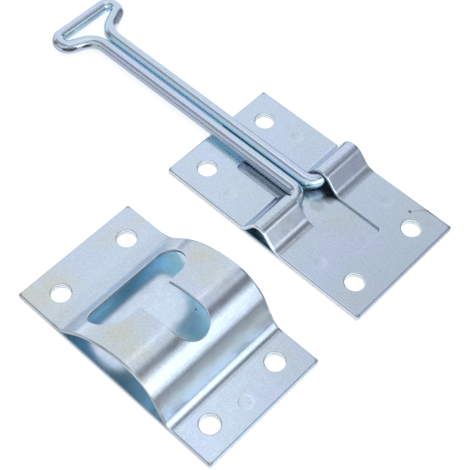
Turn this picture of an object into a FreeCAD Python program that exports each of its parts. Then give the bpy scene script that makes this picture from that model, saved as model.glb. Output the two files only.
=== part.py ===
"""Tee-hook door holder, in two halves that lie side by side on a flat surface.

The hook half is a pressed front plate on a flat back plate, with one bent wire hook
that swings in the knuckles of the front plate. The keeper half is a domed front plate
with a T-shaped slot, on a flat back plate.

Frame: X along the plates, Y across them, Z up. The origin is the middle of the hook
half's back face. At rest the hook lies down along -X.
"""
import FreeCAD, Part
import math
import os

Vec = FreeCAD.Vector

# Plates, the same for both halves
plate_length = 88.9
plate_width = 50.8
front_sheet = 1.2
back_sheet = 1.2
corner_radius = 0.6
edge_break = 0.2
hole_dia = 7.1
hole_inset_x = 9.9
hole_inset_y = 10.15
weld_mark_dia = 5.0
weld_mark_floor_dia = 4.2
weld_mark_depth = 0.15
weld_mark_reach_x = 21.1
weld_mark_reach_y = 17.7
keeper_mark_inset_x = 6.9
keeper_mark_y = -1.8

# Wire of the tee hook
wire_dia = 5.2
leg_gap = 0.4
reach = 116.4
head_width = 33.0
head_corner_radius = 3.6
neck_radius = 8.0
neck_turn = 65.0
root_bend_radius = 4.6
foot_span = 38.0
foot_chamfer = 0.5
seat_gap = 0.1

# Where the loose wire lies in its knuckles in the rest position
hook_shift_x = -0.3
hook_shift_y = 0.8

# Knuckle of the hook half's front plate
knuckle_shift = -0.8
knuckle_play = 0.8
knuckle_drop = 0.4
knuckle_near_flank = 57.0
knuckle_near_foot_radius = 2.2
knuckle_far_flank = 50.0
knuckle_far_foot_radius = 6.5

# Window between the two knuckles
window_length = 55.0
window_bend_gap = 0.2
window_corner_radius = 1.6

# Dome of the keeper's front plate, radii on its outer face
dome_start = 14.9
ramp_foot_radius = 11.3
ramp_angle = 44.0
ramp_run = 6.1
back_radius = 38.3
crown_start_angle = 4.0
crown_radius = 14.7
flank_angle = 62.0
flank_foot_radius = 4.7

# T-shaped slot of the keeper, in plan
slot_end_gap = 2.85
slot_bar_width = 14.5
slot_bar_from_end = 25.05
slot_ramp_corner_radius = 5.0
slot_crown_corner_radius = 8.0
slot_neck_gap = 1.2
slot_tip_from_end = 61.65

# Where the keeper lies beside the hook half
keeper_shift_x = 1.0
keeper_gap = 20.8

# Sizes that follow from the ones above
wire_radius = wire_dia / 2
stack = back_sheet + front_sheet
hinge_z = stack + seat_gap + wire_radius
leg_y = (wire_dia + leg_gap) / 2
hook_width = 2 * wire_dia + leg_gap
half_length = plate_length / 2
half_width = plate_width / 2
keeper_y = -(plate_width + keeper_gap)

# Upright cuts run from below the back plate to above the dome
cut_start = -back_sheet
cut_height = plate_width
same = 1e-6


def turned(angle):
    """Unit vector in the XZ plane that climbs at an angle from +X."""
    a = math.radians(angle)
    return Vec(math.cos(a), 0, math.sin(a))


def side(angle):
    """Unit vector square to turned(angle), on its left."""
    a = math.radians(angle)
    return Vec(-math.sin(a), 0, math.cos(a))


def strip_face(start, moves, thickness):
    """Section of a bent sheet in the XZ plane, from straight runs and tangent bends.

    A move is (length,) or (radius, angle). The radius is that of the middle of the sheet,
    and a positive angle bends the sheet up.
    """
    half = thickness / 2
    point = start
    heading = 0.0
    under = []
    over = []
    first = (point - side(heading) * half, point + side(heading) * half)
    for move in moves:
        if len(move) == 1:
            end = point + turned(heading) * move[0]
            for edges, shift in ((under, -half), (over, half)):
                offset = side(heading) * shift
                edges.append(Part.LineSegment(point + offset, end + offset).toShape())
            point = end
            continue
        radius, angle = move
        sign = math.copysign(1.0, angle)
        centre = point + side(heading) * (radius * sign)
        middle = heading + angle / 2
        final = heading + angle
        for edges, shift in ((under, -half), (over, half)):
            arm = -(radius * sign - shift)
            a = centre + side(heading) * arm
            b = centre + side(middle) * arm
            c = centre + side(final) * arm
            edges.append(Part.Arc(a, b, c).toShape())
        point = centre - side(final) * (radius * sign)
        heading = final
    last = (point - side(heading) * half, point + side(heading) * half)
    ends = [Part.LineSegment(*first).toShape(), Part.LineSegment(*last).toShape()]
    outline = Part.Wire(Part.__sortEdges__(under + over + ends))
    return Part.Face(outline)


def pressed(moves):
    """Front plate bent along X, before its corners and openings are cut."""
    start = Vec(-half_length, -half_width, back_sheet + front_sheet / 2)
    return strip_face(start, moves, front_sheet).extrude(Vec(0, plate_width, 0))


def rounded_prism(x0, x1, y0, y1, radii, z0=cut_start, z1=cut_height):
    """Upright prism on a rectangle whose corners, from (x0, y0) round to (x0, y1), are arcs."""
    corners = [Vec(x0, y0, z0), Vec(x1, y0, z0), Vec(x1, y1, z0), Vec(x0, y1, z0)]
    edges = []
    stops = []
    for i, corner in enumerate(corners):
        before = (corners[i - 1] - corner).normalize()
        after = (corners[(i + 1) % 4] - corner).normalize()
        a = corner + before * radii[i]
        c = corner + after * radii[i]
        b = corner + (before + after) * (radii[i] * (1 - math.sqrt(0.5)))
        edges.append(Part.Arc(a, b, c).toShape())
        stops.append((a, c))
    for i in range(4):
        a = stops[i][1]
        b = stops[(i + 1) % 4][0]
        if a.distanceToPoint(b) > same:
            edges.append(Part.LineSegment(a, b).toShape())
    outline = Part.Wire(Part.__sortEdges__(edges))
    return Part.Face(outline).extrude(Vec(0, 0, z1 - z0))


def plate_blank():
    """Upright prism on the plates' outline."""
    radii = [corner_radius] * 4
    return rounded_prism(-half_length, half_length, -half_width, half_width, radii)


def screw_holes():
    """The four screw holes of a half, as upright cylinders."""
    x = half_length - hole_inset_x
    y = half_width - hole_inset_y
    spots = [Vec(sx * x, sy * y, cut_start) for sx in (-1, 1) for sy in (-1, 1)]
    return [Part.makeCylinder(hole_dia / 2, cut_height, spot) for spot in spots]


def weld_marks(spots):
    """Shallow round dents with sloping sides, where the welds join a front plate to its back."""
    return [Part.makeCone(weld_mark_floor_dia / 2, weld_mark_dia / 2, weld_mark_depth,
                          Vec(x, y, stack - weld_mark_depth)) for x, y in spots]


def back_plate():
    """Flat sheet that closes the back of a half."""
    blank = rounded_prism(-half_length, half_length, -half_width, half_width,
                          [corner_radius] * 4, 0.0, back_sheet)
    return blank.cut(screw_holes())


def deburred(plate):
    """Plate with the sharp edge broken along both ends of its upper face and up its sides."""
    top = []
    for edge in plate.Edges:
        box = edge.BoundBox
        flat = box.ZLength < same and abs(box.ZMax - stack) < same
        on_end = box.XLength < same and abs(abs(box.XMin) - half_length) < same
        if flat and on_end:
            top.append(edge)
    return plate.makeChamfer(edge_break, top)


def knuckle_moves():
    """Bends of the hook half's front plate, with one knuckle across its middle."""
    crown = wire_radius + knuckle_play + front_sheet / 2
    crown_z = hinge_z - knuckle_drop + crown
    rise = crown_z - (back_sheet + front_sheet / 2)

    def foot_run_span(foot_radius, flank):
        a = math.radians(flank)
        foot = foot_radius + front_sheet / 2
        run = (rise - (crown + foot) * (1 - math.cos(a))) / math.sin(a)
        return foot, run, (crown + foot) * math.sin(a) + run * math.cos(a)

    near_foot, near_run, near_span = foot_run_span(knuckle_near_foot_radius, knuckle_near_flank)
    far_foot, far_run, far_span = foot_run_span(knuckle_far_foot_radius, knuckle_far_flank)
    return [(half_length + knuckle_shift - near_span,), (near_foot, knuckle_near_flank),
            (near_run,), (crown, -knuckle_near_flank - knuckle_far_flank), (far_run,),
            (far_foot, knuckle_far_flank), (half_length - knuckle_shift - far_span,)]


def hook_front_plate():
    """Pressed plate of the hook half, with its window and two knuckles."""
    plate = pressed(knuckle_moves()).common(plate_blank())
    x = window_length / 2
    y = leg_y + root_bend_radius + window_bend_gap
    window = rounded_prism(-x, x, -y, y, [window_corner_radius] * 4)
    spots = [(sx * weld_mark_reach_x, sy * weld_mark_reach_y) for sx in (-1, 1) for sy in (-1, 1)]
    return deburred(plate.cut(screw_holes() + [window] + weld_marks(spots)))


def dome_moves():
    """Bends of the keeper's front plate: a long ramp, a round crown and a steep flank."""
    half = front_sheet / 2
    ramp_foot = ramp_foot_radius + half
    back = back_radius - half
    crown = crown_radius - half
    flank_foot = flank_foot_radius + half

    def drop(radius, low, high):
        return radius * (math.cos(math.radians(low)) - math.cos(math.radians(high)))

    def span(radius, low, high):
        return radius * (math.sin(math.radians(high)) - math.sin(math.radians(low)))

    climb = (drop(ramp_foot, 0, ramp_angle) + ramp_run * math.sin(math.radians(ramp_angle))
             + drop(back, crown_start_angle, ramp_angle) + drop(crown, 0, crown_start_angle))
    fall = drop(crown, 0, flank_angle) + drop(flank_foot, 0, flank_angle)
    flank = (climb - fall) / math.sin(math.radians(flank_angle))
    length = (span(ramp_foot, 0, ramp_angle) + ramp_run * math.cos(math.radians(ramp_angle))
              + span(back, crown_start_angle, ramp_angle)
              + span(crown, -flank_angle, crown_start_angle)
              + flank * math.cos(math.radians(flank_angle)) + span(flank_foot, 0, flank_angle))
    return [(dome_start,), (ramp_foot, ramp_angle), (ramp_run,),
            (back, crown_start_angle - ramp_angle), (crown, -crown_start_angle - flank_angle),
            (flank,), (flank_foot, flank_angle), (plate_length - dome_start - length,)]


def tee_slot():
    """T-shaped opening of the keeper: the head goes in at the bar, the legs slide down the stem."""
    bar_y = head_width / 2 + slot_end_gap
    bar_x = slot_bar_from_end - half_length
    ramp = slot_ramp_corner_radius
    crown = slot_crown_corner_radius
    bar = rounded_prism(bar_x, bar_x + slot_bar_width, -bar_y, bar_y, [ramp, crown, crown, ramp])
    stem_y = hook_width / 2 + slot_neck_gap
    tip_x = slot_tip_from_end - half_length
    start_x = bar_x + slot_bar_width / 2
    stem = Part.makeBox(tip_x - stem_y - start_x, 2 * stem_y, cut_height, Vec(start_x, -stem_y, 0))
    tip = Part.makeCylinder(stem_y, cut_height, Vec(tip_x - stem_y, 0, 0))
    return bar.fuse([stem, tip]).removeSplitter()


def keeper_front_plate():
    """Domed plate of the keeper, with its T-shaped slot."""
    plate = pressed(dome_moves()).common(plate_blank())
    spots = [(half_length - keeper_mark_inset_x, keeper_mark_y)]
    return deburred(plate.cut(screw_holes() + [tee_slot()] + weld_marks(spots)))


def tee_hook():
    """One wire: two feet in the knuckles, two legs side by side and a closed tee head."""
    turn = math.radians(neck_turn)
    bar_x = -reach
    corner_y = head_width / 2 - wire_radius - head_corner_radius
    corner_x = bar_x + head_corner_radius
    shoulder = Vec(corner_x + head_corner_radius * math.sin(turn),
                   corner_y + head_corner_radius * math.cos(turn), 0)
    neck_end_y = leg_y + neck_radius * (1 - math.cos(turn))
    neck_end_x = shoulder.x + (shoulder.y - neck_end_y) / math.tan(turn)
    neck_x = neck_end_x + neck_radius * math.sin(turn)
    neck_centre = Vec(neck_x, leg_y + neck_radius, 0)
    root_centre = Vec(-root_bend_radius, leg_y + root_bend_radius, 0)

    def around(centre, radius, angle):
        a = math.radians(angle)
        return centre + Vec(math.cos(a), math.sin(a), 0) * radius

    foot = Vec(0, foot_span / 2, 0)
    bends = [
        (around(root_centre, root_bend_radius, 0), around(root_centre, root_bend_radius, -45),
         around(root_centre, root_bend_radius, -90)),
        (around(neck_centre, neck_radius, -90), around(neck_centre, neck_radius, -90 - neck_turn / 2),
         around(neck_centre, neck_radius, -90 - neck_turn)),
        (shoulder, around(Vec(corner_x, corner_y, 0), head_corner_radius, 135 - neck_turn / 2),
         around(Vec(corner_x, corner_y, 0), head_corner_radius, 180)),
    ]
    mirrored = [tuple(Vec(p.x, -p.y, 0) for p in reversed(bend)) for bend in reversed(bends)]
    edges = []
    last = foot
    for a, b, c in bends + mirrored:
        edges.append(Part.LineSegment(last, a).toShape())
        edges.append(Part.Arc(a, b, c).toShape())
        last = c
    edges.append(Part.LineSegment(last, Vec(0, -foot_span / 2, 0)).toShape())
    route = Part.Wire(edges)
    section = Part.Wire(Part.makeCircle(wire_radius, foot, Vec(0, 1, 0)))
    wire = route.makePipeShell([section], True, False)
    rims = [e for e in wire.Edges if abs(abs(e.CenterOfMass.y) - foot_span / 2) < same
            and e.BoundBox.YLength < same]
    wire = wire.makeChamfer(foot_chamfer, rims)
    wire.translate(Vec(knuckle_shift + hook_shift_x, hook_shift_y, hinge_z))
    return wire


def moved_to_keeper(shape):
    """Shape moved from the hook half's place to the keeper's."""
    shape.translate(Vec(keeper_shift_x, keeper_y, 0))
    return shape


def main():
    """Write one STEP file for each piece."""
    pieces = {
        "hook_back_plate": back_plate(),
        "hook_front_plate": hook_front_plate(),
        "tee_hook": tee_hook(),
        "keeper_back_plate": moved_to_keeper(back_plate()),
        "keeper_front_plate": moved_to_keeper(keeper_front_plate()),
    }
    os.makedirs("parts", exist_ok=True)
    for name, shape in pieces.items():
        if shape.ShapeType == "Compound" and len(shape.Solids) == 1:
            shape = shape.Solids[0]
        box = shape.BoundBox
        print(name, shape.ShapeType, "valid", shape.isValid(), "volume", round(shape.Volume, 1),
              "x", round(box.XMin, 2), round(box.XMax, 2), "y", round(box.YMin, 2),
              round(box.YMax, 2), "z", round(box.ZMin, 2), round(box.ZMax, 2))
        shape.exportStep("parts/" + name + ".step")


main()
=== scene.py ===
"""Dresses a tee-hook door holder: a hook half and a domed keeper half in clear-zinc-plated steel.

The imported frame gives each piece's place. The sheets and the wire are made again from the same
sections with finer faces and soft cut edges, and every piece gets its plating as nodes.
"""
from collections import namedtuple
from math import asin, atan, ceil, copysign, cos, dist, pi, radians, sin, sqrt, tan
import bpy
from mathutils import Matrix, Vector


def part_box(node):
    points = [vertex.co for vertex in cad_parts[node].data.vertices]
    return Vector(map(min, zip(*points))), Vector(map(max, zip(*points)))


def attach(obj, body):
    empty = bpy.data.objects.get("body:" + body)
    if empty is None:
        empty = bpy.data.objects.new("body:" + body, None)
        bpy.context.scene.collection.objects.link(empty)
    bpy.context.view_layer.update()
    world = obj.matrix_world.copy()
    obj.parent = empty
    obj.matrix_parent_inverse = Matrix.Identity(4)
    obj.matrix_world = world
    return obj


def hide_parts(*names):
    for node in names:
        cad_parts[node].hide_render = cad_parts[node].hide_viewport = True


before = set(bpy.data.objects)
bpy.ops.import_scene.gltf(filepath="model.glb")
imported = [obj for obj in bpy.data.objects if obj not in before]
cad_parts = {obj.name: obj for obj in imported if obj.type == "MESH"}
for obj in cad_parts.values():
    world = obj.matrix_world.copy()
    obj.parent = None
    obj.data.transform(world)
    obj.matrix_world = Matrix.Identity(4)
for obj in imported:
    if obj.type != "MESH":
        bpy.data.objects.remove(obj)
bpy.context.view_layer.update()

from types import SimpleNamespace

import bpy
import numpy as np
from bpy.props import FloatProperty, FloatVectorProperty, PointerProperty
from mathutils import Matrix, Vector
from mathutils.geometry import delaunay_2d_cdt

bl_info = {
    "name": "Tee-hook door holder",
    "version": (1, 0, 0),
    "blender": (4, 5, 0),
    "location": "View3D > Sidebar > Door Holder",
    "description": "Builds the plated sheets, the wire hook and the studio of a door holder",
    "category": "Object",
}

MM = 0.001

# Steps of the meshes along straight runs, across a sheet, round loops and along the wire
RUN_STEP, ROW_STEP, LOOP_STEP, SLOT_STEP, WIRE_STEP = 2.6, 2.54, 0.5, 0.45, 3.0
BEND_STEP, CORNER_STEP, WIRE_TURN = radians(3), radians(7), radians(2.5)
HOLE_SIDES, DENT_SIDES, WIRE_SIDES = 72, 40, 48
DENT_RINGS, ROLL_STEPS = 7, 5
# Least distances between mesh lines, between a loop's points, and from a sheet's inner points
# to its rolled edge and to a dent's rings
LINE_GAP, POINT_GAP, EDGE_GAP, DENT_GAP = 0.12, 0.02, 0.3, 0.5
# A bend's face ends at this share of its radius, where its slope is still finite
BEND_LIMIT = 0.999
# The roll fills this share of a tight corner's radius, and widens by this much per millimetre
ROLL_ROOM, ROLL_EASE = 0.85, 0.5
# A triangle with less area than this share of its longest side squared is a sliver
SLIVER = 1e-4


def node_span(node):
    """Lowest and highest corners of a frame node, in millimetres."""
    low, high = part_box(node)
    return low / MM, high / MM


def srgb(code):
    """Linear RGBA from an sRGB hex value."""
    channels = [int(code[i:i + 2], 16) / 255 for i in (1, 3, 5)]
    return tuple(c / 12.92 if c <= 0.04045 else ((c + 0.055) / 1.055) ** 2.4
                 for c in channels) + (1.0,)


HOOK_LOW, HOOK_HIGH = node_span("hook_back_plate")
KEEPER_LOW, KEEPER_HIGH = node_span("keeper_back_plate")
HOOK_MIDDLE = ((HOOK_LOW.x + HOOK_HIGH.x) / 2, (HOOK_LOW.y + HOOK_HIGH.y) / 2)
KEEPER_MIDDLE = ((KEEPER_LOW.x + KEEPER_HIGH.x) / 2, (KEEPER_LOW.y + KEEPER_HIGH.y) / 2)
WHITE = (1, 1, 1, 1)


# Sizes and colours that a user can change

def length_prop(name, value, description):
    """A length, from its value in millimetres."""
    return FloatProperty(name=name, description=description, default=value * MM, unit="LENGTH",
                         precision=5)


def angle_prop(name, value, description):
    """An angle, from its value in degrees."""
    return FloatProperty(name=name, description=description, default=radians(value),
                         subtype="ANGLE")


def share_prop(name, value, description):
    """A share from 0 to 1."""
    return FloatProperty(name=name, description=description, default=value, min=0, max=1,
                         subtype="FACTOR")


def colour_prop(name, code, description):
    """A colour, from its sRGB hex value."""
    return FloatVectorProperty(name=name, description=description, default=srgb(code), size=4,
                               min=0, max=1, subtype="COLOR")


class SheetSizes(bpy.types.PropertyGroup):
    """Sizes that both halves share."""
    length: length_prop("Plate length", HOOK_HIGH.x - HOOK_LOW.x, "Length of each sheet along X")
    width: length_prop("Plate width", HOOK_HIGH.y - HOOK_LOW.y, "Width of each sheet along Y")
    thickness: length_prop("Sheet", HOOK_HIGH.z - HOOK_LOW.z, "Thickness of one sheet")
    corner: length_prop("Corner radius", 0.6, "Radius of the sheets' corners in plan")
    hole: length_prop("Screw hole", 7.1, "Diameter of a screw hole")
    hole_inset_x: length_prop("Hole inset X", 9.9, "Hole centre to the short edge")
    hole_inset_y: length_prop("Hole inset Y", 10.15, "Hole centre to the long edge")
    roll_width: length_prop("Roll width", 0.75, "Width of the droop that shearing leaves on top")
    roll_drop: length_prop("Roll drop", 0.25, "Height of that droop")
    roll_in_hole: share_prop("Roll in a hole", 0.55, "Size of the droop round a hole, as a share "
                             "of the outline's")
    burnish: share_prop("Burnish", 0.45, "Share of the wall that the punch polished")
    burr: length_prop("Burr side radius", 0.1, "Radius of the lower edges")
    weld: length_prop("Weld mark", 5.4, "Diameter of the dent that a weld leaves")
    weld_x: length_prop("Weld mark X", 21.1, "Hook half's middle to a weld mark, along X")
    weld_y: length_prop("Weld mark Y", 17.7, "Hook half's middle to a weld mark, along Y")
    weld_depth: length_prop("Weld mark depth", 0.07, "Depth of that dent")


class HookSizes(bpy.types.PropertyGroup):
    """Sizes of the wire hook and its knuckles."""
    wire: length_prop("Wire", 5.2, "Diameter of the wire")
    leg_gap: length_prop("Leg gap", 0.4, "Gap between the two legs")
    reach: length_prop("Reach", 116.4, "Hinge line to the middle of the tee bar")
    head: length_prop("Head width", 33.0, "Width of the tee head")
    head_corner: length_prop("Head corner", 3.6, "Bend radius at the head's corners")
    neck: length_prop("Neck radius", 8.0, "Bend radius where the legs open into the head")
    neck_turn: angle_prop("Neck turn", 65, "Angle that each leg turns outwards")
    root: length_prop("Root radius", 4.6, "Bend radius from a leg into its foot")
    feet: length_prop("Feet", 38.0, "End to end length of the two feet")
    foot_chamfer: length_prop("Foot chamfer", 0.5, "Chamfer at the ends of the wire")
    seat: length_prop("Seat gap", 0.1, "Gap under the wire on the front sheet")
    shift_x: length_prop("Shift X", -0.3, "Wire's hinge line from the knuckle's middle")
    shift_y: length_prop("Shift Y", 0.8, "Wire's middle from the plate's middle")
    knuckle_shift: length_prop("Knuckle shift", -0.8, "Knuckle's middle from the plate's middle")
    knuckle_play: length_prop("Knuckle play", 0.8, "Room round the wire in its knuckle")
    knuckle_drop: length_prop("Knuckle drop", 0.4, "Knuckle's centre below the wire's")
    near_flank: angle_prop("Near flank", 57, "Slope of the knuckle's side towards the hook")
    far_flank: angle_prop("Far flank", 50, "Slope of the knuckle's other side")
    near_foot: length_prop("Near foot", 2.2, "Radius at the knuckle's foot towards the hook")
    far_foot: length_prop("Far foot", 6.5, "Radius at the knuckle's other foot")
    window: length_prop("Window", 55.0, "Length of the window between the knuckles")
    window_gap: length_prop("Window gap", 0.2, "Window's edge past the wire's root bend")
    window_corner: length_prop("Window corner", 1.6, "Radius of the window's corners")


class KeeperSizes(bpy.types.PropertyGroup):
    """Sizes of the keeper's dome and its T-shaped slot."""
    weld_x: length_prop("Weld mark X", 37.55, "Keeper's middle to its weld mark, along X")
    weld_y: length_prop("Weld mark Y", -1.8, "Keeper's middle to its weld mark, along Y")
    start: length_prop("Flat before dome", 14.9, "Short edge to the foot of the ramp")
    ramp_foot: length_prop("Ramp foot", 11.3, "Radius at the foot of the ramp")
    ramp: angle_prop("Ramp", 44, "Slope of the ramp")
    ramp_run: length_prop("Ramp run", 6.1, "Straight length of the ramp")
    back: length_prop("Back radius", 38.3, "Radius of the dome's long back")
    crown_start: angle_prop("Crown start", 4, "Slope where the crown starts")
    crown: length_prop("Crown radius", 14.7, "Radius of the dome's crown")
    flank: angle_prop("Flank", 62, "Slope of the steep flank")
    flank_foot: length_prop("Flank foot", 4.7, "Radius at the foot of the flank")
    slot_end: length_prop("Slot end gap", 2.85, "Room past each end of the tee head")
    slot_bar: length_prop("Slot bar", 14.5, "Width of the slot's bar")
    slot_bar_from: length_prop("Slot from end", 25.05, "Short edge to the slot's bar")
    slot_ramp_corner: length_prop("Slot ramp corner", 5.0, "Corner radius on the ramp's side")
    slot_crown_corner: length_prop("Slot crown corner", 8.0, "Corner radius on the crown's side")
    slot_neck: length_prop("Slot neck gap", 1.2, "Room beside the legs in the stem")
    slot_neck_corner: length_prop("Slot neck corner", 0.3, "Radius where the stem leaves the bar")
    slot_tip_from: length_prop("Slot tip from end", 61.65, "Short edge to the tip of the stem")


class Finish(bpy.types.PropertyGroup):
    """Colours of the clear zinc plating, with the painted reflections and the painted highlight on
    the walls.
    """
    zinc: colour_prop("Zinc", "#C9DAEC", "Clear zinc with a cold blue passivation")
    # Painted reflection: a cyan tint that stands in for light bounced between faces under a bend
    # and between the wire's legs
    recess_reflection: colour_prop("Recess", "#C4F2FA", "Deeper blue of the sheltered faces")
    # Painted reflection: a paler tone on the back sheets where they reflect the wire and the dome
    # over them
    reflection_paint: colour_prop("Covered", "#EEF8F0", "Paler zinc of a back sheet where another piece "
                         "covers it")
    film: colour_prop("Film", "#D0D4CB", "Straw tint where the passivation is thicker")
    # Partly painted highlight: the punch burnishes this band, but its near-white stands in for
    # light on the walls and the edges' droop
    shear: colour_prop("Shear", "#F0F6FA", "Bright band that the punch polished")
    cut: colour_prop("Cut edge", "#C8D1D9", "Plated fracture of a sheared edge")


class Studio(bpy.types.PropertyGroup):
    """Camera of the picture and the softbox."""
    lens: FloatProperty(name="Lens", description="Focal length on a 36 mm wide sensor",
                        default=93.64, unit="CAMERA")
    azimuth: angle_prop("Azimuth", 41.7, "Camera's turn about Z from the front")
    elevation: angle_prop("Elevation", 56.05, "Camera's height angle")
    roll: angle_prop("Roll", 1.85, "Camera's roll")
    distance: length_prop("Distance", 422.6, "Camera to the point that it looks at")
    softbox: FloatProperty(name="Softbox", description="Brightness of the softbox's face",
                           default=1.9, min=0)


GROUPS = {"holder_sheet": SheetSizes, "holder_hook": HookSizes, "holder_keeper": KeeperSizes,
          "holder_finish": Finish, "holder_studio": Studio}


def sizes_of(scene, *groups):
    """Values of the scene's property groups of these names, with lengths in millimetres."""
    found = []
    for group in groups:
        values = getattr(scene, "holder_" + group)
        found.append(SimpleNamespace(**{
            name: getattr(values, name) / (MM if prop.unit == "LENGTH" else 1)
            for name, prop in values.bl_rna.properties.items()
            if prop.type == "FLOAT" and not prop.is_array}))
    return found


# Sections: the upper and lower faces of a bent sheet, as heights over X

Straight = namedtuple("Straight", "first last height slope")
Bend = namedtuple("Bend", "first last x z radius sign")


def section_runs(start_x, mid_z, moves, shift):
    """Straight and bent runs of the face that lies at a shift from the middle of a bent sheet.

    A move is (length,) or (middle radius, angle in radians), and a positive angle bends up.
    """
    runs = []
    x, z, heading = start_x, mid_z, 0.0
    for move in moves:
        if len(move) == 1:
            x2 = x + move[0] * cos(heading)
            z2 = z + move[0] * sin(heading)
            dx = -sin(heading) * shift
            runs.append(Straight(x + dx, x2 + dx, z + cos(heading) * shift,
                                 tan(heading)))
            x, z = x2, z2
            continue
        radius, angle = move
        sign = copysign(1.0, angle)
        cx = x - sin(heading) * radius * sign
        cz = z + cos(heading) * radius * sign
        end = heading + angle
        arm = radius * sign - shift
        runs.append(Bend(cx + sin(heading) * arm, cx + sin(end) * arm, cx, cz,
                         abs(arm), sign))
        x = cx + sin(end) * radius * sign
        z = cz - cos(end) * radius * sign
        heading = end
    return runs


def height_and_slope(runs, x):
    """Heights and slopes of a face at an array of X."""
    z, slope = np.zeros_like(x), np.zeros_like(x)
    for i, run in enumerate(runs):
        inside = x >= run.first if i else np.ones(x.shape, bool)
        if isinstance(run, Straight):
            z = np.where(inside, run.height + (x - run.first) * run.slope, z)
            slope = np.where(inside, run.slope, slope)
        else:
            limit = run.radius * BEND_LIMIT
            reach = np.clip(x - run.x, -limit, limit)
            depth = np.sqrt(run.radius ** 2 - reach ** 2)
            z = np.where(inside, run.z - run.sign * depth, z)
            slope = np.where(inside, run.sign * reach / depth, slope)
    return z, slope


def mesh_lines(runs):
    """X of the mesh lines that a face needs: close together in its bends."""
    marks = set()
    for run in runs:
        if isinstance(run, Straight):
            count = max(1, ceil((run.last - run.first) / RUN_STEP))
            marks.update(run.first + (run.last - run.first) * i / count for i in range(count + 1))
        else:
            low, high = (asin((x - run.x) / run.radius) for x in (run.first, run.last))
            count = max(2, ceil(abs(high - low) / BEND_STEP))
            marks.update(run.x + run.radius * sin(low + (high - low) * i / count)
                         for i in range(count + 1))
    lines = []
    for x in sorted(marks):
        if not lines or x - lines[-1] > LINE_GAP:
            lines.append(x)
    return lines


# Outlines in plan

def unit(rows):
    """Rows scaled to a length of 1."""
    return rows / np.linalg.norm(rows, axis=1)[:, None]


def rounded_loop(corners, spacing):
    """Closed loop through (x, y, radius) corners, with points no further apart than a spacing."""
    arcs = []
    for i, (x, y, radius) in enumerate(corners):
        here = Vector((x, y))
        before = (Vector(corners[i - 1][:2]) - here).normalized()
        after = (Vector(corners[(i + 1) % len(corners)][:2]) - here).normalized()
        half = before.angle(after) / 2
        reach = radius / tan(half)
        centre = here + (before + after).normalized() * (radius / sin(half))
        first = here + before * reach - centre
        turn = first.angle_signed(here + after * reach - centre)
        steps = max(3, ceil(abs(turn) / CORNER_STEP))
        arc = []
        for k in range(steps + 1):
            a = -turn * k / steps
            arc.append(centre + Vector((first.x * cos(a) - first.y * sin(a),
                                        first.x * sin(a) + first.y * cos(a))))
        arcs.append(arc)
    points = []
    for i, arc in enumerate(arcs):
        points += arc
        a, b = arc[-1], arcs[(i + 1) % len(arcs)][0]
        steps = max(1, ceil((b - a).length / spacing))
        points += [a.lerp(b, k / steps) for k in range(1, steps)]
    loop = points[:1]
    for point in points[1:]:
        if (point - loop[-1]).length > POINT_GAP:
            loop.append(point)
    if (loop[-1] - loop[0]).length < POINT_GAP:
        loop.pop()
    return np.array([tuple(point) for point in loop])


def rounded_box(x, y, radius):
    """Closed loop of a rectangle about the origin, from its half sides."""
    return rounded_loop([(-x, -y, radius), (x, -y, radius), (x, y, radius), (-x, y, radius)],
                        LOOP_STEP)


def circle(x, y, radius, sides):
    """Closed loop of a circle."""
    turns = np.linspace(0, 2 * pi, sides, endpoint=False)
    return np.column_stack([x + radius * np.cos(turns), y + radius * np.sin(turns)])


def signed_area(loop):
    """Area of a loop, positive when it runs anticlockwise."""
    x, y = loop[:, 0], loop[:, 1]
    return 0.5 * np.sum(x * np.roll(y, -1) - y * np.roll(x, -1))


def away_from_metal(loop, is_hole):
    """Plan directions that point out of the metal at each point of a loop."""
    along = unit(np.roll(loop, -1, 0) - np.roll(loop, 1, 0))
    out = np.column_stack([along[:, 1], -along[:, 0]])
    return out if (signed_area(loop) > 0) != is_hole else -out


def in_loop(points, loop):
    """Whether each point lies inside a loop."""
    x, y = points[:, 0][:, None], points[:, 1][:, None]
    ax, ay = loop[:, 0][None], loop[:, 1][None]
    bx, by = np.roll(loop[:, 0], -1)[None], np.roll(loop[:, 1], -1)[None]
    crosses = (ay > y) != (by > y)
    with np.errstate(divide="ignore", invalid="ignore"):
        cut = ax + (y - ay) * (bx - ax) / (by - ay)
    return (np.sum(crosses & (x < cut), axis=1) % 2) == 1


def in_metal(points, loops):
    """Whether each point lies inside the first loop, the outline, and outside its holes."""
    inside = in_loop(points, loops[0])
    for hole in loops[1:]:
        inside &= ~in_loop(points, hole)
    return inside


def nearest(points, others):
    """Distance from each point to the nearest of some others, in blocks that fit in memory."""
    best = np.full(len(points), np.inf)
    block = 256
    for k in range(0, len(others), block):
        gap = np.sqrt(((points[:, None] - others[k:k + block][None]) ** 2).sum(2))
        best = np.minimum(best, gap.min(1))
    return best


def dent_depth(points, dents):
    """Depth and its plan slopes at each point, from round dents (x, y, rim r, floor r, depth)."""
    depth = np.zeros(len(points))
    pull = np.zeros((len(points), 2))
    for x, y, rim, floor, deep in dents:
        away = points - (x, y)
        gap = np.maximum(np.linalg.norm(away, axis=1), 1e-9)
        t = np.clip((rim - gap) / (rim - floor), 0, 1)
        depth += deep * t * t * (3 - 2 * t)
        rate = -deep * 6 * t * (1 - t) / (rim - floor)
        pull += away / gap[:, None] * rate[:, None]
    return depth, pull


def round_patches(points, patches):
    """Strength at each point of soft round patches (x, y, radius, strength)."""
    total = np.zeros(len(points))
    for x, y, radius, strength in patches:
        total += strength * np.exp(-((points - (x, y)) ** 2).sum(1) / radius ** 2)
    return total


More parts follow.
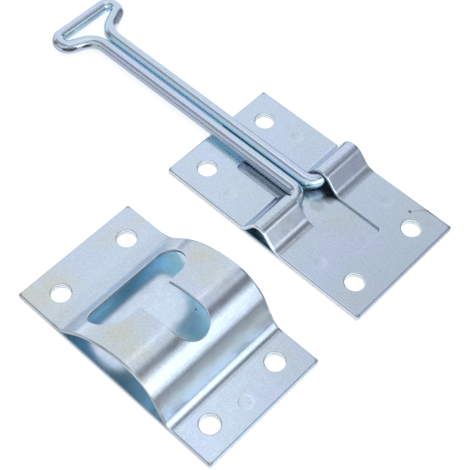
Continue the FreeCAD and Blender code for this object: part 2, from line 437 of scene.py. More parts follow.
def roll_share(loop, out, width):
    """Share of the roll's width that fits at each point of a loop.

    A sharp corner of the metal has room for less, and its neighbours ease back to the full width.
    """
    before, after = loop - np.roll(loop, 1, 0), np.roll(loop, -1, 0) - loop
    step = (np.linalg.norm(before, axis=1) + np.linalg.norm(after, axis=1)) / 2
    bend = ((np.roll(out, -1, 0) - np.roll(out, 1, 0)) * (before + after)).sum(1)
    bend /= np.maximum((before + after) ** 2, 1e-12).sum(1)
    bend = np.maximum(bend, np.maximum(np.roll(bend, 1), np.roll(bend, -1)))
    room = np.minimum(width, ROLL_ROOM / np.maximum(bend, 1e-6))
    for _ in range(2 * len(loop)):
        beside = np.minimum(np.roll(room, 1), np.roll(room, -1))
        eased = np.minimum(room, beside + ROLL_EASE * step)
        if np.allclose(eased, room):
            break
        room = eased
    return room / width


# Meshes

def shaded_mesh(name, verts, faces, normals, values):
    """Mesh from points in millimetres, with its own smooth normals and its named values."""
    mesh = bpy.data.meshes.new(name)
    mesh.from_pydata([tuple(v) for v in verts * MM], [], faces)
    mesh.update()
    mesh.polygons.foreach_set("use_smooth", [True] * len(mesh.polygons))
    for key, numbers in values.items():
        mesh.attributes.new(key, "FLOAT", "POINT").data.foreach_set(
            "value", [float(number) for number in numbers])
    mesh.normals_split_custom_set_from_vertices([tuple(n) for n in normals])
    mesh.update()
    return mesh


class PressedSheet:
    """Points and faces of one pressed sheet, with rolled upper edges and sheared walls.

    Dents are round dents, film is the patches of straw tint, the highlight line is the X and half
    width of a line of painted highlight, and the reflection patches are soft round patches of
    painted reflection.
    Values: cut_edge is 1 on sheared walls, torn is 1 on their lower part that broke, the painted
    reflection is 1 on the face that a bent sheet turns to its back sheet and grows in the
    reflection patches, straw is how thick the passivation is, pressed is 1 where the tool bent the
    sheet steeply, and the painted highlight is 1 on the highlight line and on rings inside the
    dents.
    """

    def __init__(self, sizes, moves, base_z, dents, film, highlight_line, reflection_patches):
        half = sizes.thickness / 2
        self.top, self.bottom = (section_runs(-sizes.length / 2, base_z + half, moves, shift)
                                 for shift in (half, -half))
        self.sizes, self.dents, self.film, self.highlight_line = sizes, dents, film, highlight_line
        self.reflection_patches = reflection_patches
        self.hollow = 1.0 if len(moves) > 1 else 0.0
        self.verts, self.normals, self.faces = [], [], []
        self.values = {key: [] for key in ("cut_edge", "torn", "painted_reflection", "straw", "pressed",
                                           "painted_highlight")}
        # Loops where the edge meets each face, as (points, number of the first)
        self.rims = {True: [], False: []}

    def surface(self, points, upper):
        """Heights and normals of the upper or lower face."""
        z, slope = height_and_slope(self.top if upper else self.bottom, points[:, 0])
        way = np.column_stack([-slope, np.zeros(len(z)), np.ones(len(z))])
        if upper and self.dents:
            depth, pull = dent_depth(points, self.dents)
            z = z - depth
            way[:, :2] += pull
        return z, unit(way) if upper else -unit(way)

    def place(self, points, z, way, edge, torn, upper):
        """Adds points with their values, and returns the number of the first."""
        first = len(self.verts)
        self.verts.extend(zip(points[:, 0], points[:, 1], z))
        self.normals.extend(map(tuple, way))
        # Painted reflection: the lower face of a bent sheet and the reflection patches get a tint
        # that stands in for light bounced between faces
        reflection_paint = round_patches(points, self.reflection_patches) + (0.0 if upper else self.hollow)
        slope = np.abs(height_and_slope(self.top, points[:, 0])[1])
        # Painted highlight: a line along the keeper's flank and rings inside the weld dents
        highlight_share = np.zeros(len(points))
        if self.highlight_line:
            middle, half_width = self.highlight_line
            highlight_share = np.exp(-((points[:, 0] - middle) / half_width) ** 2)
        # Painted highlight: a pale ring inside a dent's rim, brighter where the floor is wide
        for x, y, rim, floor, _ in self.dents:
            gap = np.linalg.norm(points - (x, y), axis=1)
            ring = np.exp(-((gap - rim + 0.3) / 0.35) ** 2)
            highlight_share = np.maximum(highlight_share, 0.42 * floor / rim * ring)
        for key, numbers in (("cut_edge", edge), ("torn", torn),
                             ("painted_reflection", np.minimum(reflection_paint, 1.0) * (1 - edge)),
                             ("straw", round_patches(points, self.film)),
                             # From a slope of 50 degrees on, and fully from 61
                             ("pressed", np.clip((slope - 1.2) / 0.6, 0, 1)),
                             ("painted_highlight", highlight_share if upper else 0.0)):
            self.values[key].extend(np.broadcast_to(numbers, len(points)))
        return first

    def edge_rings(self):
        """Rings down a sheared edge: (inset, height past the face, tilt, torn, upper)."""
        width, drop, burr = self.sizes.roll_width, self.sizes.roll_drop, self.sizes.burr
        wall, burnish = self.sizes.thickness - drop - burr, self.sizes.burnish
        # The droop is a parabola, so that its slope grows evenly to the wall
        rings = [(width * (1 - k / ROLL_STEPS), drop * (k / ROLL_STEPS) ** 2,
                  atan(2 * drop / width * k / ROLL_STEPS), 0.0, True)
                 for k in range(ROLL_STEPS + 1)]
        # The wall is polished down to the burnish, and torn from just below it
        rings += [(0.0, drop + wall * share, pi / 2, torn, True)
                  for share, torn in ((0.04, 0.0), (burnish, 0.0), (burnish + 0.05, 1.0))]
        rings += [(burr * (1 - sin(a)), burr * (1 - cos(a)), a, 1.0, False)
                  for a in (pi / 2, pi / 3, pi / 6, 0.0)]
        return rings

    def add_edge(self, loop, is_hole):
        """Adds the rings of one loop's edge and the faces between them."""
        out = away_from_metal(loop, is_hole)
        scale = self.sizes.roll_in_hole if is_hole else 1.0
        share = roll_share(loop, out, self.sizes.roll_width * scale) * scale
        count = len(loop)
        order = 1 if (signed_area(loop) > 0) != is_hole else -1
        before = None
        for inset, past, tilt, torn, upper in self.edge_rings():
            points = loop - out * (inset * share)[:, None]
            z, way = self.surface(points, upper)
            z = z - (past if inset == 0 else past * scale) if upper else z + past
            flat = np.column_stack([out, np.zeros(count)])
            way = unit(way * cos(tilt) + flat * sin(tilt))
            # The wall's colour, with its painted highlight, spreads over the droop as it steepens
            first = self.place(points, z, way, sin(tilt) ** 4, torn, upper)
            if before is not None:
                for k in range(count):
                    j = (k + order) % count
                    self.faces.append((before + k, first + k, first + j, before + j))
            if tilt == 0:
                self.rims[upper].append((points, first))
            before = first

    def add_face(self, upper):
        """Fills the upper or lower face between its rims with rows of points and triangles."""
        loops = [points for points, _ in self.rims[upper]]
        rim = np.vstack(loops)
        side = self.sizes.width / 2
        grid = np.array([(x, y) for x in mesh_lines(self.top)
                         for y in np.arange(-side, side + 0.1, ROW_STEP)])
        if upper and self.dents:
            marks = np.vstack([circle(x, y, r, DENT_SIDES) for x, y, edge, floor, _ in self.dents
                               for r in np.linspace(floor * 0.8, edge + 0.3, DENT_RINGS)])
            grid = np.vstack([grid[nearest(grid, marks) > DENT_GAP], marks])
        grid = grid[in_metal(grid, loops) & (nearest(grid, rim) > EDGE_GAP)]
        first = self.place(grid, *self.surface(grid, upper), 0.0, 0.0, upper)
        numbers, edges = [], []
        for points, start in self.rims[upper]:
            at, count = len(numbers), len(points)
            numbers += range(start, start + count)
            edges += [(at + k, at + (k + 1) % count) for k in range(count)]
        numbers += range(first, first + len(grid))
        spots = [Vector(point) for point in np.vstack([rim, grid])]
        corners, _, triangles, origin = delaunay_2d_cdt(spots, edges, [], 0, 1e-5)[:4]
        if len(corners) != len(spots):
            raise RuntimeError("a sheet's outline points cross or coincide")
        middles = np.array([sum((corners[i] for i in tri), Vector((0, 0))) / len(tri)
                            for tri in triangles])
        for tri, solid in zip(triangles, in_metal(middles, loops)):
            a, b, c = (corners[i] for i in tri)
            size = max((b - a).length, (c - b).length, (a - c).length)
            if solid and abs((b - a).cross(c - a)) > SLIVER * size * size:
                face = tuple(numbers[origin[i][0]] for i in tri)
                self.faces.append(face if upper else face[::-1])


def sheet_mesh(name, sizes, moves, base_z, holes, place, dents=(), film=(), highlight_line=None, reflection_patches=()):
    """Mesh of one pressed sheet, with holes as closed loops, shifted in plan to its place."""
    sheet = PressedSheet(sizes, moves, base_z, dents, film, highlight_line, reflection_patches)
    sheet.add_edge(rounded_box(sizes.length / 2, sizes.width / 2, sizes.corner), False)
    for hole in holes:
        sheet.add_edge(hole, True)
    for upper in (True, False):
        sheet.add_face(upper)
    verts = np.array(sheet.verts) + (*place, 0.0)
    return shaded_mesh(name, verts, sheet.faces, sheet.normals, sheet.values)


def wire_mesh(name, hook, place):
    """Mesh of the bent wire, with chamfered ends and a strand attribute.

    The strand attribute is each point's place on the wire before it was bent, and a painted
    reflection tint grows on the sides that the legs turn to each other.
    """
    line, along = hook_route(hook)
    radius, chamfer = hook.wire / 2, hook.foot_chamfer
    walked = np.concatenate([[0], np.cumsum(np.linalg.norm(np.diff(line, axis=0), axis=1))])
    total = walked[-1]
    # A ring is (distance, radius, outward share of the normal, cut_edge, which end it is at)
    bevel = [(0.0, radius - chamfer * 1.1, 0.15, 1.0), (0.04, radius - chamfer, 0.35, 1.0),
             (chamfer * 0.5, radius - chamfer * 0.42, 0.7, 0.6),
             (chamfer, radius - 0.03, 0.92, 0.2), (chamfer * 1.3, radius, 1.0, 0.0)]
    rings = [(s, *rest, -1) for s, *rest in bevel]
    rings += [(s, radius, 1.0, 0.0, 0) for s in walked if chamfer * 1.5 < s < total - chamfer * 1.5]
    rings += [(total - s, *rest, 1) for s, *rest in reversed(bevel)]
    turns = np.arange(WIRE_SIDES) * 2 * pi / WIRE_SIDES
    cosines, sines = np.cos(turns), np.sin(turns)
    verts, normals, cut, inner, strand, faces = [], [], [], [], [], []

    def at(rows, s):
        return np.array([np.interp(s, walked, rows[:, 0]), np.interp(s, walked, rows[:, 1]), 0.0])

    for s, r, spread, edge, end in rings:
        ahead = at(along, s) / np.linalg.norm(at(along, s))
        rays = np.outer(cosines, (-ahead[1], ahead[0], 0.0)) + np.outer(sines, (0.0, 0.0, 1.0))
        verts.extend(at(line, s) + rays * r)
        normals.extend(rays * spread + ahead * end * sqrt(max(0.0, 1 - spread ** 2)))
        cut += [edge] * WIRE_SIDES
        # Painted reflection: a bluer tint on the sides that the legs turn to each other
        inner.extend(np.maximum(0.0, 0.4 * cosines))
        strand.extend(np.column_stack([np.full(WIRE_SIDES, s), r * cosines, r * sines]))
    pairs = [(k, (k + 1) % WIRE_SIDES) for k in range(WIRE_SIDES)]
    for a in range(0, (len(rings) - 1) * WIRE_SIDES, WIRE_SIDES):
        b = a + WIRE_SIDES
        faces += [(a + j, b + j, b + k, a + k) for k, j in pairs]
    for ring, end in ((0, -1), (len(rings) - 1, 1)):
        centre, a = len(verts), ring * WIRE_SIDES
        s = rings[ring][0]
        verts.append(at(line, s))
        normals.append(at(along, s) * end)
        cut.append(1.0)
        inner.append(0.0)
        strand.append((s, 0.0, 0.0))
        faces += [(a + j, a + k, centre) if end < 0 else (a + k, a + j, centre) for k, j in pairs]
    mesh = shaded_mesh(name, np.array(verts) + place, faces, normals,
                       {"cut_edge": cut, "torn": cut, "painted_reflection": inner})
    spots = mesh.attributes.new("strand", "FLOAT_VECTOR", "POINT")
    spots.data.foreach_set("vector", (np.array(strand) * MM).ravel())
    return mesh


def stand(name, data):
    """Object that shows this data, put into the scene."""
    obj = bpy.data.objects.new(name, data)
    bpy.context.scene.collection.objects.link(obj)
    return obj


def show(name, mesh, body, node, material):
    """Object that stands for a frame node and rides on its body."""
    piece = stand(name, mesh)
    mesh.materials.append(material)
    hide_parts(node)
    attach(piece, body)


# Shapes of this object's own pieces

def four_ways(x, y):
    """The four points at these distances from the middle."""
    return [(sx * x, sy * y) for sx in (-1, 1) for sy in (-1, 1)]


def screw_holes(sizes):
    """The four screw holes of a half."""
    return [circle(x, y, sizes.hole / 2, HOLE_SIDES)
            for x, y in four_ways(sizes.length / 2 - sizes.hole_inset_x,
                                  sizes.width / 2 - sizes.hole_inset_y)]


def knuckle_moves(sizes, hook):
    """Bends of the hook half's front sheet, with one knuckle across its middle."""
    half = sizes.thickness / 2
    crown = hook.wire / 2 + hook.knuckle_play + half
    rise = half + hook.seat + hook.wire / 2 - hook.knuckle_drop + crown

    def foot_run_span(radius, slope):
        foot = radius + half
        run = (rise - (crown + foot) * (1 - cos(slope))) / sin(slope)
        return foot, run, (crown + foot) * sin(slope) + run * cos(slope)

    near, near_run, near_span = foot_run_span(hook.near_foot, hook.near_flank)
    far, far_run, far_span = foot_run_span(hook.far_foot, hook.far_flank)
    return [(sizes.length / 2 + hook.knuckle_shift - near_span,), (near, hook.near_flank),
            (near_run,), (crown, -hook.near_flank - hook.far_flank), (far_run,),
            (far, hook.far_flank), (sizes.length / 2 - hook.knuckle_shift - far_span,)]


def dome_moves(sizes, keeper):
    """Bends of the keeper's front sheet: a long ramp, a round crown and a steep flank."""
    half = sizes.thickness / 2
    ramp_foot, back = keeper.ramp_foot + half, keeper.back - half
    crown, flank_foot = keeper.crown - half, keeper.flank_foot + half
    ramp, top, fall = keeper.ramp, keeper.crown_start, keeper.flank
    climb = (ramp_foot * (1 - cos(ramp)) + keeper.ramp_run * sin(ramp)
             + back * (cos(top) - cos(ramp)) + crown * (1 - cos(top)))
    flank = (climb - (crown + flank_foot) * (1 - cos(fall))) / sin(fall)
    span = (ramp_foot * sin(ramp) + keeper.ramp_run * cos(ramp)
            + back * (sin(ramp) - sin(top)) + crown * (sin(top) + sin(fall))
            + flank * cos(fall) + flank_foot * sin(fall))
    return [(keeper.start,), (ramp_foot, ramp), (keeper.ramp_run,), (back, top - ramp),
            (crown, -top - fall), (flank,), (flank_foot, fall),
            (sizes.length - keeper.start - span,)]


def knuckle_window(hook):
    """Opening between the two knuckles, that the hook's legs swing through."""
    return rounded_box(hook.window / 2, (hook.wire + hook.leg_gap) / 2 + hook.root
                       + hook.window_gap, hook.window_corner)


def tee_slot(sizes, hook, keeper):
    """T-shaped opening of the keeper."""
    x0 = keeper.slot_bar_from - sizes.length / 2
    x1 = x0 + keeper.slot_bar
    x2 = keeper.slot_tip_from - sizes.length / 2
    y1 = hook.head / 2 + keeper.slot_end
    y0 = hook.wire + hook.leg_gap / 2 + keeper.slot_neck
    # The tip is just short of a half circle, so that its two bends don't meet
    ramp, crown, neck, tip = (keeper.slot_ramp_corner, keeper.slot_crown_corner,
                              keeper.slot_neck_corner, y0 * 0.999)
    return rounded_loop([(x0, -y1, ramp), (x1, -y1, crown), (x1, -y0, neck), (x2, -y0, tip),
                         (x2, y0, tip), (x1, y0, neck), (x1, y1, crown), (x0, y1, ramp)],
                        SLOT_STEP)


def hook_route(hook):
    """Middle line of the wire from one foot round to the other, and its directions."""
    leg = (hook.wire + hook.leg_gap) / 2
    turn, corner, quarter = hook.neck_turn, hook.head_corner, pi / 2
    corner_x = corner - hook.reach
    corner_y = hook.head / 2 - hook.wire / 2 - corner
    shoulder = (corner_x + corner * sin(turn), corner_y + corner * cos(turn))
    neck_y = leg + hook.neck * (1 - cos(turn))
    neck_x = shoulder[0] + (shoulder[1] - neck_y) / tan(turn) + hook.neck * sin(turn)
    # Bends of one half as (centre x, centre y, radius, first angle, last angle)
    bends = [(-hook.root, leg + hook.root, hook.root, 0.0, -quarter),
             (neck_x, leg + hook.neck, hook.neck, -quarter, -quarter - turn),
             (corner_x, corner_y, corner, quarter - turn, pi)]
    bends += [(x, -y, r, -b, -a) for x, y, r, a, b in reversed(bends)]
    stops = [(0.0, hook.feet / 2)]
    for x, y, radius, a, b in bends:
        steps = ceil(abs(b - a) / WIRE_TURN)
        for k in range(steps + 1):
            angle = a + (b - a) * k / steps
            stops.append((x + radius * cos(angle), y + radius * sin(angle)))
    stops.append((0.0, -hook.feet / 2))
    line = stops[:1]
    for x, y in stops[1:]:
        x0, y0 = line[-1]
        steps = max(1, ceil(dist((x0, y0), (x, y)) / WIRE_STEP))
        line += [(x0 + (x - x0) * k / steps, y0 + (y - y0) * k / steps)
                 for k in range(1, steps + 1)]
    line = np.array(line)
    ahead = unit(np.vstack([line[1:] - line[:-1], line[-1:] - line[-2:-1]]))
    along = ahead.copy()
    along[1:] += ahead[:-1]
    return line, unit(along)


# Materials

def cleared(owner):
    """Empty node tree of a new material or world."""
    owner.use_nodes = True
    owner.node_tree.nodes.clear()
    return owner.node_tree


def add(tree, kind, given=None, out=0):
    """Adds a shader node and returns one of its outputs.

    What is given sets its properties, and sets or links its inputs. Stops are the two
    (position, grey) ends of a colour ramp.
    """
    made = tree.nodes.new("ShaderNode" + kind)
    for key, value in (given or {}).items():
        if isinstance(value, bpy.types.NodeSocket):
            tree.links.new(value, made.inputs[key])
        elif key == "stops":
            for end, (place, grey) in zip(made.color_ramp.elements, value):
                end.position, end.color = place, (grey, grey, grey, 1)
        elif isinstance(key, str) and hasattr(made, key):
            setattr(made, key, value)
        else:
            made.inputs[key].default_value = value
    return made.outputs[out] if made.outputs else None


def clear_zinc(name, finish, drawn, spots=(), recess_reflection=None):
    """Steel with a clear, cold blue zinc passivation: a soft mirror that goes straw in patches.

    Rolled sheet has faint rolling lines along X, drawn wire has die lines along its strand.
    The sheared edges are a rough, dull fracture under the same zinc, with a burnished band whose
    near-white is a painted highlight. Spots are dark marks (x, y, z, radius in mm, strength): dirt,
    the rack's streak and darker corners, and also painted shade and painted dark reflections.
    Recess reflection is the colour of the painted reflection on the faces turned under a bend.
    """
    material = bpy.data.materials.new(name)
    tree = cleared(material)
    place = (add(tree, "Attribute", {"attribute_name": "strand"}, "Vector") if drawn
             else add(tree, "TexCoord", out="Object"))
    painted = {key: add(tree, "Attribute", {"attribute_name": key}, "Fac")
               for key in ("straw", "pressed", "painted_highlight", "painted_reflection", "cut_edge", "torn")}
    # Patterns: grain in mm, detail, roughness, stretch along X, Y and Z, ends of a colour ramp
    grain, level = {}, {}
    for key, size, detail, rough, stretch, stops in (
            ("haze", 4, 2, 0.5, (1, 1, 1), [(0.55, 0.0), (0.78, 0.2)]),
            # Rolling or die lines, drawn coarser than the real 0.1 mm so that they show
            ("lines", 0.4, 2, 0.5, (40, 1, 1), [(0.3, 0.7), (0.7, 1.0)]),
            # Zinc crystals give a satin of about 0.2 mm, drawn at 0.8 mm so that it shows
            ("satin", 0.8, 3, 0.7, (1, 1, 1), [(0.3, 0.84), (0.7, 1.0)]),
            # Thin passivation turns some stretches lavender, like oil on water
            ("lavender", 17, 1, 0.5, (1, 1, 1),
             [(0.4, 0.1), (0.62, 0.7)] if drawn else [(0.48, 0.0), (0.68, 0.5)]),
            # The bath leaves the straw film in patches, broken up every 8 mm or so
            ("broken", 8, 3, 0.5, (1, 1, 1), [(0.3, 0.4), (0.65, 1.0)]),
            # Lines that the tool drew along the bends, and the grain of a torn wall
            ("scores", 0.7, 2, 0.5, (1, 60, 1), [(0.35, 0.55), (0.65, 1.0)]),
            ("fracture", 0.5, 3, 0.6, (1, 1, 3), [(0.4, 0.0), (0.7, 0.65)]),
            ("waves", 7, 1, 0.5, (1, 1, 1), None)):
        scaled = add(tree, "Mapping", {"Scale": tuple(1 / (size * MM * k) for k in stretch),
                                       "Vector": place})
        grain[key] = add(tree, "TexNoise", {"Scale": 1.0, "Detail": detail, "Roughness": rough,
                                            "Vector": scaled}, "Fac")
        if stops:
            level[key] = add(tree, "ValToRGB", {"stops": stops, "Fac": grain[key]})
    # Dark specks where the zinc missed a grain of dirt, 0.25 mm in radius and 9 mm apart or more
    cells = add(tree, "TexVoronoi", {"Scale": 1 / (9 * MM), "Vector": place}).node.outputs
    pick = add(tree, "SeparateColor", {0: cells["Color"]})
    rare = add(tree, "Math", {"operation": "GREATER_THAN", 0: pick, 1: 0.9})
    near = add(tree, "Math", {"operation": "LESS_THAN", 0: cells["Distance"], 1: 0.028})
    speck, straw, scored = (add(tree, "Math", {"operation": "MULTIPLY", 0: a, 1: b}) for a, b in (
        (rare, near), (painted["straw"], level["broken"]), (painted["pressed"], 0.22)))
    # Layers over the plain zinc: mask, colour, how it is mixed in
    layers = [
        (level["haze"], srgb("#D2CBDD"), "MIX"),
        (level["lavender"], srgb("#CDD8F8"), "MIX"),
        (straw, finish.film, "MIX"),
        (1.0, level["satin"], "MULTIPLY"),
        (0.1, level["lines"], "MULTIPLY"),
        (scored, level["scores"], "MULTIPLY"),
        # Painted highlight: a sheen line on the keeper's flank and pale rings inside the weld dents
        (painted["painted_highlight"], srgb("#E2F3FA"), "MIX"),
        # Painted reflection: a cyan tint under the bends and between the legs, and paler back
        # sheets under the pieces
        (painted["painted_reflection"], recess_reflection or finish.recess_reflection, "MIX"),
        (speck, srgb("#5C6468"), "MIX")]
    # Dark spots: dirt, the rack's streak and darker corners, and also painted shade and painted
    # dark reflections
    for x, y, z, radius, strength in spots:
        gap = add(tree, "VectorMath", {"operation": "DISTANCE", 0: place,
                                       1: (x * MM, y * MM, z * MM)}, "Value")
        inside = add(tree, "MapRange", {"interpolation_type": "SMOOTHSTEP", "Value": gap,
                                        "From Min": radius * MM * 0.5, "From Max": radius * MM,
                                        "To Min": 1.0, "To Max": 0.0})
        mark = add(tree, "Math", {"operation": "MULTIPLY", 0: inside, 1: strength})
        layers.append((mark, srgb("#4A4744"), "MIX"))
    # The wall: a dull torn fracture with a darker mottle, under a burnished band whose near-white
    # is a painted highlight
    wall = add(tree, "Mix", {"data_type": "RGBA", 0: level["fracture"], 6: finish.cut,
                             7: srgb("#8F9BA6")}, 2)
    wall = add(tree, "Mix", {"data_type": "RGBA", 0: painted["torn"], 6: finish.shear, 7: wall}, 2)
    layers.append((painted["cut_edge"], wall, "MIX"))
    shade = finish.zinc
    for mask, colour, mode in layers:
        shade = add(tree, "Mix", {"data_type": "RGBA", "blend_type": mode, 0: mask, 6: shade,
                                  7: colour}, 2)
    low, high = (0.17, 0.22) if drawn else (0.2, 0.26)
    rough = add(tree, "MapRange", {"From Min": 0.3, "From Max": 0.7, "To Min": low,
                                   "To Max": high, "Value": grain["haze"]})
    for mask, more in ((painted["cut_edge"], 0.05), (painted["torn"], 0.2)):
        rough = add(tree, "Math", {"operation": "MULTIPLY_ADD", 0: mask, 1: more, 2: rough})
    # Relief, each over the one before: pattern, strength, height in mm
    relief = {}
    for pattern, strength, height in (("satin", 0.3, 0.02), ("lines", 0.06, 0.02),
                                      ("waves", 0.25, 0.2)):
        relief = {"Normal": add(tree, "Bump", {"Strength": strength, "Distance": height * MM,
                                               "Height": grain[pattern], **relief})}
    shader = add(tree, "BsdfPrincipled", {"Metallic": 1.0, "Base Color": shade,
                                          "Roughness": rough, **relief})
    add(tree, "OutputMaterial", {"Surface": shader})
    return material


# Studio

def square(name, side, finish):
    """Stage object: a flat square about its own origin, and its finish's empty node tree."""
    half = side / 2
    mesh = bpy.data.meshes.new(name)
    mesh.from_pydata([(-half, -half, 0), (half, -half, 0), (half, half, 0), (-half, half, 0)], [],
                     [(0, 1, 2, 3)])
    mesh.materials.append(bpy.data.materials.new(finish))
    return stand(name, mesh), cleared(mesh.materials[0])


def lay_floor():
    """White card floor that keeps the object's shadow, just clear of the back sheets."""
    floor, tree = square("floor", 4, "white_card_floor")
    floor.location.z = HOOK_LOW.z * MM - 0.00002
    path = add(tree, "LightPath").node.outputs
    lift = add(tree, "Math", {"operation": "MULTIPLY", 0: path["Is Camera Ray"], 1: 0.79})
    lift = add(tree, "Math", {"operation": "MULTIPLY_ADD", 0: path["Is Glossy Ray"], 1: 0.88,
                              2: lift})
    matt = add(tree, "BsdfDiffuse", {"Color": srgb("#8F9091")})
    glow = add(tree, "Emission", {"Color": WHITE, "Strength": lift})
    both = add(tree, "AddShader", {0: matt, 1: glow})
    add(tree, "OutputMaterial", {"Surface": both})


def hang_tent(scene):
    """White world: plain light on the object, and full white where a ray sees it."""
    scene.world = bpy.data.worlds.new("white_tent")
    tree = cleared(scene.world)
    path = add(tree, "LightPath").node.outputs
    seen = path["Is Camera Ray"]
    for kind in ("Is Glossy Ray", "Is Transmission Ray"):
        seen = add(tree, "Math", {"operation": "MAXIMUM", 0: seen, 1: path[kind]})
    level = add(tree, "MapRange", {"To Min": 0.85, "To Max": 1.0, "Value": seen})
    sky = add(tree, "Background", {"Color": WHITE, "Strength": level})
    add(tree, "OutputWorld", {"Surface": sky})


def card(name, centre, across, size, strength, soft, facing=None, grazing=None):
    """Studio card that only reflections see. It faces the object and fades out at its rim.

    Across is the direction of its first side, and soft is the share of it that fades. Grazing
    is its brightness seen along its surface.
    """
    obj, tree = square(name, 1, name)
    away = Vector(facing or centre).normalized()
    side = (Vector(across) - away * away.dot(Vector(across))).normalized()
    turned = Matrix((side, away.cross(side), away)).transposed().to_4x4()
    obj.matrix_world = Matrix.Translation(centre) @ turned @ Matrix.Diagonal((*size, 1, 1))
    apart = add(tree, "SeparateXYZ", {0: add(tree, "TexCoord", out="Object")}).node.outputs
    fades = []
    for axis in (0, 1):
        reach = add(tree, "Math", {"operation": "ABSOLUTE", 0: apart[axis]})
        fades.append(add(tree, "MapRange", {"interpolation_type": "SMOOTHSTEP", "Value": reach,
                                            "From Min": 0.5 - soft / 2, "From Max": 0.5,
                                            "To Min": 1.0, "To Max": 0.0}))
    fade = add(tree, "Math", {"operation": "MULTIPLY", 0: fades[0], 1: fades[1]})
    if grazing is not None:
        tilt = add(tree, "LayerWeight", {"Blend": 0.5}, "Facing")
        strength = add(tree, "MapRange", {"To Min": strength, "To Max": grazing, "Value": tilt})
    glow = add(tree, "Emission", {"Color": WHITE, "Strength": strength})
    mixed = add(tree, "MixShader", {0: fade, 1: add(tree, "BsdfTransparent"), 2: glow})
    add(tree, "OutputMaterial", {"Surface": mixed})
    obj.visible_camera = obj.visible_shadow = obj.visible_diffuse = False


# Cards as (name, centre, direction of the first side, size, brightness, share that fades)
X, Y = (1, 0, 0), (0, 1, 0)
# The softbox's wing and skirt beyond the dome's steep flank, panels overhead and a grey scrim
PANELS = (("softbox_wing", (0.44, 0.22, 0.35), Y, (0.26, 0.22), 1.5, 0.8),
          ("overhead_panel", (-0.22, 0.08, 0.86), X, (0.40, 0.30), 1.3, 0.7),
          ("softbox_skirt", (0.50, 0.06, 0.045), Y, (0.30, 0.13), 1.3, 0.25),
          ("keeper_panel", (-0.235, 0.165, 0.645), X, (0.20, 0.20), 1.45, 0.8),
          ("left_panel", (-0.38, 0.40, 0.70), X, (0.26, 0.34), 1.12, 0.8),
          ("rear_scrim", (-0.17, 0.36, 0.72), X, (0.46, 0.42), 0.80, 0.7))
# Grey paper on the floor: name, lowest and highest X, lowest and highest Y, brightness seen
# from above and along the floor
PAPERS = (("front_paper", -0.7, 0.9, -1.0, -0.097, 0.80, 0.36),
          ("hook_paper", -0.56, -0.0445, -0.03, 0.0, 1.0, 0.45),
          # The card inside the tee head's loop is darker: painted shadow of the floor there, for
          # the reflections
          ("loop_shadow_card", -0.114, -0.103, -0.004, 0.012, 0.72, 0.55),
          ("neck_paper", -0.10, 0.12, 0.03, 0.40, 0.5, 0.3),
          ("middle_paper", -0.0445, 0.0445, -0.046, -0.0254, 1.25, 0.55),
          ("keeper_paper", 0.0455, 0.85, -0.097, -0.0254, 0.48, 0.4),
          ("right_paper", 0.0445, 0.64, -0.0254, 0.34, 0.48, 0.32))
PAPER_HEIGHT, PAPER_FADE = 0.0004, 0.002
# A grey scrim in front, then dark flags that draw the bands on the bends and the lines on the
# edges. Only the bends of the tee head see the last three
FLAGS = (("front_scrim", (-0.39, -0.62, 0.56), X, (1.4, 0.44), 0.70, 0.4),
         ("knuckle_flag", (-0.03, 0.315, 0.70), X, (0.16, 0.11), 0.10, 0.5),
         ("high_flag", (0.345, 0.30, 0.77), X, (0.50, 0.60), 0.22, 0.6),
         ("rear_flag", (0.22, 0.54, 0.68), X, (0.90, 0.36), 0.36, 0.4),
         ("right_flag", (0.48, 0.46, 0.20), Y, (0.50, 0.42), 0.40, 0.3),
         ("front_high_flag", (-0.40, -0.25, 0.71), X, (1.3, 0.46), 0.34, 0.5),
         ("front_low_flag", (-0.25, -0.80, 0.06), X, (1.8, 0.42), 0.22, 0.4),
         ("neck_flag", (0.03, 0.59, 0.30), X, (0.40, 0.66), 0.25, 0.3),
         ("corner_flag", (0.25, -0.22, 0.57), (0.5, 0.87, 0), (0.44, 0.28), 0.40, 0.5),
         ("left_flag", (-0.72, -0.45, 0.24), (-0.5, 0.87, 0), (0.45, 0.56), 0.22, 0.4))


def hang_lamp():
    """Soft round lamp overhead that lights the floor and shows in no reflection."""
    lamp = bpy.data.lights.new("overhead_lamp", "AREA")
    lamp.energy = 4.0
    lamp.shape = "DISK"
    lamp.size = 0.8
    obj = stand("overhead_lamp", lamp)
    obj.location = (0.30, -0.05, 1.0)
    obj.rotation_euler = obj.location.to_track_quat("Z", "Y").to_euler()
    obj.visible_glossy = False


def aim_camera(scene, studio):
    """Camera of the photograph's view."""
    camera = bpy.data.cameras.new("camera")
    camera.sensor_width = 36.0
    camera.lens = studio.lens
    target = Vector((-7.62, -29.45, 2.4)) * MM
    scene.camera = stand("camera", camera)
    scene.camera.matrix_world = (Matrix.Translation(target)
                                 @ Matrix.Rotation(studio.azimuth, 4, "Z")
                                 @ Matrix.Rotation(pi / 2 - studio.elevation, 4, "X")
                                 @ Matrix.Rotation(studio.roll, 4, "Z")
                                 @ Matrix.Translation((0, 0, studio.distance * MM)))


# Operators: one for each piece or group of like pieces, and one for the stage

def corner_tips(sizes, middle):
    """Spots that darken a front sheet's corners."""
    return [(middle[0] + x, middle[1] + y, 2 * sizes.thickness - 0.2, 1.8, 0.35)
            for x, y in four_ways(sizes.length / 2 - 0.1, sizes.width / 2 - 0.1)]


